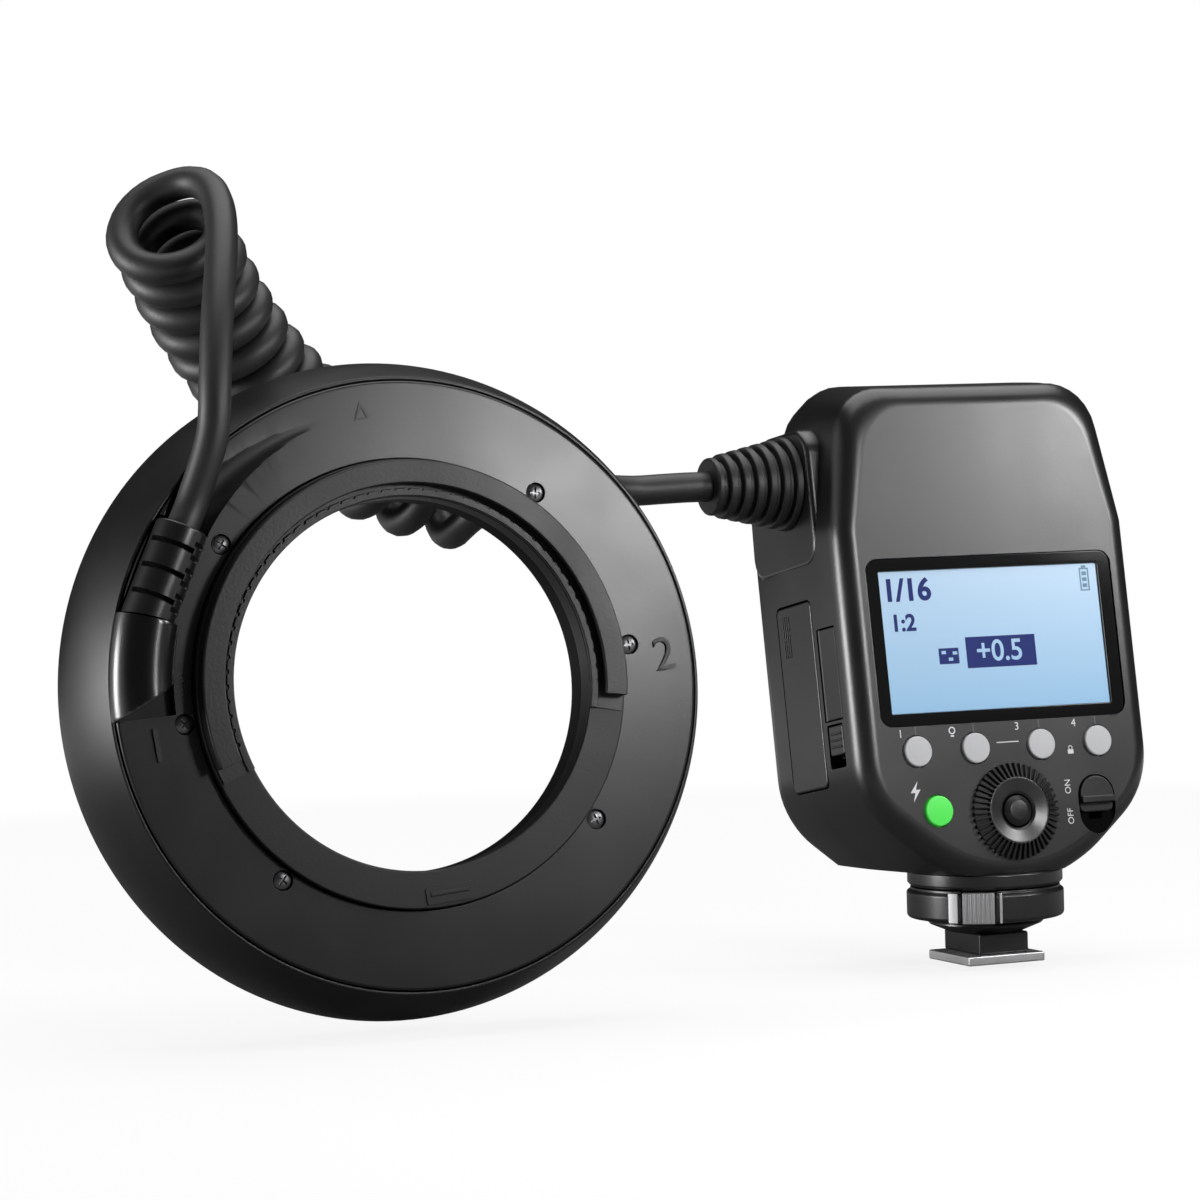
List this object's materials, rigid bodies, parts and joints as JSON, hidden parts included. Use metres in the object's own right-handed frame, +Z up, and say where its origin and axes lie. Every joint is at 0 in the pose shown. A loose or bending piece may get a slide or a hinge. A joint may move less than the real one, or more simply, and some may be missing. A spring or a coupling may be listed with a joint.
{
  "type": "macro ring flash",
  "caption": "Macro ring flash: a lens-mounted ring light head joined by a curly cord to a control unit with display, buttons, dial and a locking hot-shoe foot.",
  "frame": {"origin": "middle of the underside of the shoe foot's plate, on the control unit", "axes": "+Z up out of the camera's shoe, +Y forward as the foot slides into the shoe, so the panel faces the user on the -Y side; the ring head is on the -X side"},
  "size_m": [0.2458, 0.0832, 0.1723],
  "materials": {
    "black_plastic": "satin moulded",
    "gloss_black": "polished",
    "black_rubber": "matte",
    "grey_rubber": "matte",
    "green_lens": "translucent",
    "display_glass": "polished",
    "display": "lit",
    "bright_metal": "bright",
    "dark_metal": "blackened",
    "gold_contact": "plated",
    "grey_plastic": "moulded",
    "circuit_board": "lacquered",
    "capacitor_sleeve": "shrink sleeve",
    "white_diffuser": "frosted",
    "reflector": "bright",
    "tube_glass": "clear",
    "lamp_amber": "clear cap"
  },
  "bodies": {
    "control_unit": {"foot_plate": "bright_metal", "foot_stem": "black_plastic", "foot_screws": "dark_metal", "neck_disc": "black_plastic", "neck_screws": "dark_metal", "rear_panel_shell": "black_plastic", "front_shell": "black_plastic", "body_screws": "dark_metal", "lcd_window": "display_glass", "lcd_module": "display", "dial_encoder": "grey_plastic", "button_board": "circuit_board", "main_board": "circuit_board", "flash_capacitor": "capacitor_sleeve", "battery_tray": "grey_plastic", "battery_contacts": "gold_contact", "power_board": "circuit_board", "port_sockets": "grey_plastic", "unit_cord_boot": "black_rubber", "cord_unit_tail": "black_rubber", "cord_coil": "black_rubber"},
    "ring_head": {"cord_ring_tail": "black_rubber", "ring_cord_boot": "black_rubber", "cable_sleeve": "gloss_black", "ring_front_housing": "black_plastic", "ring_rear_cover": "black_plastic", "rear_cover_screws": "dark_metal", "adapter_seat": "black_plastic", "adapter_lip": "black_plastic", "detent_ring": "black_plastic", "latch_spring": "bright_metal", "bore_tube": "black_plastic", "front_diffuser": "white_diffuser", "reflector_upper": "reflector", "reflector_lower": "reflector", "flash_tube_upper": "tube_glass", "flash_tube_lower": "tube_glass", "focus_lamps": "lamp_amber", "trigger_board": "circuit_board"},
    "lock_ring": {"lock_ring": "black_plastic", "lock_trim": "bright_metal"},
    "contact_pins": {"contact_pins": "gold_contact"},
    "lock_pin": {"lock_pin": "bright_metal"},
    "lock_release_button": {"lock_release_button": "bright_metal"},
    "function_button_1": {"function_button_1": "grey_rubber"},
    "function_button_2": {"function_button_2": "grey_rubber"},
    "function_button_3": {"function_button_3": "grey_rubber"},
    "function_button_4": {"function_button_4": "grey_rubber"},
    "test_button": {"test_button": "green_lens"},
    "control_dial": {"control_dial": "black_plastic"},
    "set_button": {"set_button": "black_plastic"},
    "power_switch": {"power_switch": "black_plastic"},
    "battery_pack": {"battery_pack": "black_plastic"},
    "battery_latch": {"battery_latch": "black_plastic"},
    "port_cover": {"port_cover": "black_rubber"},
    "adapter_latch": {"adapter_latch": "black_plastic"}
  },
  "joints": [
    {"name": "cord_stretch", "type": "slide", "parent": "control_unit", "child": "ring_head", "axis": [-1, 0, 0], "range_m": [0, 0.12], "stiffness_N_per_m": 20, "deforming": ["cord_coil"]},
    {"name": "function_button_1_press", "type": "slide", "parent": "control_unit", "child": "function_button_1", "axis": [0, 0.9865, -0.164], "range_m": [0, 0.0007], "stiffness_N_per_m": 300},
    {"name": "function_button_2_press", "type": "slide", "parent": "control_unit", "child": "function_button_2", "axis": [0, 0.9865, -0.164], "range_m": [0, 0.0007], "stiffness_N_per_m": 300},
    {"name": "function_button_3_press", "type": "slide", "parent": "control_unit", "child": "function_button_3", "axis": [0, 0.9865, -0.164], "range_m": [0, 0.0007], "stiffness_N_per_m": 300},
    {"name": "function_button_4_press", "type": "slide", "parent": "control_unit", "child": "function_button_4", "axis": [0, 0.9865, -0.164], "range_m": [0, 0.0007], "stiffness_N_per_m": 300},
    {"name": "test_button_press", "type": "slide", "parent": "control_unit", "child": "test_button", "axis": [0, 0.9865, -0.164], "range_m": [0, 0.0007], "stiffness_N_per_m": 300},
    {"name": "set_button_press", "type": "slide", "parent": "control_unit", "child": "set_button", "axis": [0, 0.9865, -0.164], "range_m": [0, 0.0007], "stiffness_N_per_m": 300},
    {"name": "control_dial_turn", "type": "hinge", "parent": "control_unit", "child": "control_dial", "pos_m": [0, -0.01397, 0.03324], "axis": [0, -0.9865, 0.164], "continuous": true},
    {"name": "power_switch_slide", "type": "slide", "parent": "control_unit", "child": "power_switch", "axis": [0, -0.164, -0.9865], "range_m": [0, 0.0027]},
    {"name": "battery_slide", "type": "slide", "parent": "control_unit", "child": "battery_pack", "axis": [-1, 0, 0], "range_m": [0, 0.06]},
    {"name": "battery_latch_slide", "type": "slide", "parent": "control_unit", "child": "battery_latch", "axis": [0, -0.164, -0.9865], "range_m": [0, 0.0025], "stiffness_N_per_m": 200},
    {"name": "port_cover_hinge", "type": "hinge", "parent": "control_unit", "child": "port_cover", "pos_m": [-0.0353, 0.00458, 0.06311], "axis": [0, -0.164, -0.9865], "range_deg": [0, 85]},
    {"name": "lock_ring_turn", "type": "hinge", "parent": "control_unit", "child": "lock_ring", "pos_m": [0, 0, 0.0129], "axis": [0, 0, 1], "range_deg": [0, 60]},
    {"name": "lock_pin_drop", "type": "slide", "parent": "control_unit", "child": "lock_pin", "axis": [0, 0, -1], "range_m": [0, 0.0014]},
    {"name": "lock_release_press", "type": "slide", "parent": "lock_ring", "child": "lock_release_button", "axis": [0.5592, 0.829, 0], "range_m": [0, 0.0011], "stiffness_N_per_m": 400},
    {"name": "contact_pins_press", "type": "slide", "parent": "control_unit", "child": "contact_pins", "axis": [0, 0, 1], "range_m": [0, 0.0005], "stiffness_N_per_m": 400},
    {"name": "adapter_latch_slide", "type": "slide", "parent": "ring_head", "child": "adapter_latch", "axis": [0.0984, -0.1229, -0.9875], "range_m": [0, 0.0008], "stiffness_N_per_m": 400, "deforming": ["latch_spring"]}
  ],
  "couplings": [
    {"joint": "lock_pin_drop", "follows": "lock_ring_turn", "m_per_rad": 0.001336}
  ]
}
